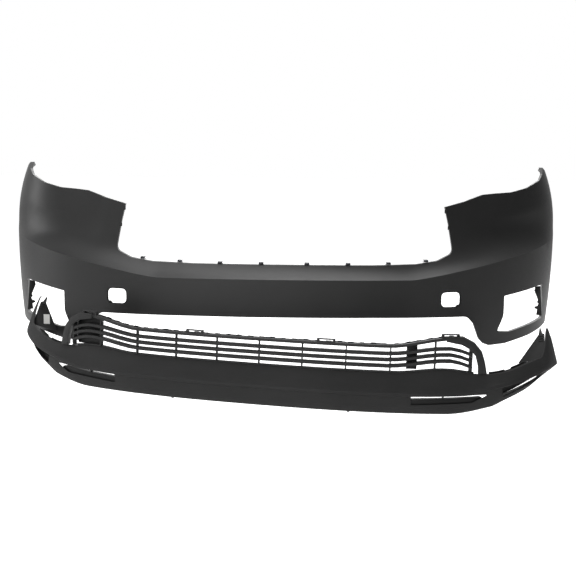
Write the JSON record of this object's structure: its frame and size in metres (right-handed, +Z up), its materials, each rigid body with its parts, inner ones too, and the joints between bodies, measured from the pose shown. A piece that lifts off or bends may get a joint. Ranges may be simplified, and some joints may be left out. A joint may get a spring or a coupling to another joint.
{
  "type": "bumper cover",
  "caption": "Front bumper cover kit of a family car: smooth primed upper cover with lamp cut-outs above a grained lower cover with an air grille.",
  "frame": {"origin": "centre of the flat back face of the mounting pad behind the middle of the upper cover's band", "axes": "+X to the right seen from in front of the car, +Y to the back of the car, +Z up; the upper cover stands as on the car and the lower cover is laid out below and in front of its seat"},
  "size_m": [1.9966, 0.9343, 0.7392],
  "materials": {
    "primed_plastic": "satin charcoal primer",
    "grained_plastic": "fine moulded grain",
    "black_plastic": "matt black",
    "spring_steel": "phosphated",
    "label_paper": "matt paper"
  },
  "bodies": {
    "upper": {"edge_clip_left_1": "spring_steel", "edge_clip_left_2": "spring_steel", "edge_clip_left_3": "spring_steel", "edge_clip_left_4": "spring_steel", "edge_clip_right_1": "spring_steel", "edge_clip_right_2": "spring_steel", "edge_clip_right_3": "spring_steel", "edge_clip_right_4": "spring_steel", "fog_bracket_left": "black_plastic", "fog_bracket_right": "black_plastic", "upper_cover": "primed_plastic"},
    "lower": {"corner_duct_left": "black_plastic", "corner_duct_right": "black_plastic", "duct_insert_left": "black_plastic", "duct_insert_right": "black_plastic", "grille_stay_left": "black_plastic", "grille_stay_right": "black_plastic", "lower_cover": "grained_plastic", "lower_grille": "black_plastic", "part_label": "label_paper", "push_clip_left": "black_plastic", "push_clip_right": "black_plastic", "wing_bracket_left": "black_plastic", "wing_bracket_right": "black_plastic"},
    "pin_left": {"clip_pin_left": "black_plastic"},
    "pin_right": {"clip_pin_right": "black_plastic"}
  },
  "joints": [
    {"name": "lower_lift_off", "type": "slide", "parent": "upper", "child": "lower", "axis": [0, -0.5, -0.866], "range_m": [0, 0.15]},
    {"name": "clip_pin_left_pull", "type": "slide", "parent": "lower", "child": "pin_left", "axis": [-0.024, 0.0044, -0.9997], "range_m": [0, 0.008]},
    {"name": "clip_pin_right_pull", "type": "slide", "parent": "lower", "child": "pin_right", "axis": [-0.024, 0.0044, -0.9997], "range_m": [0, 0.008]}
  ]
}
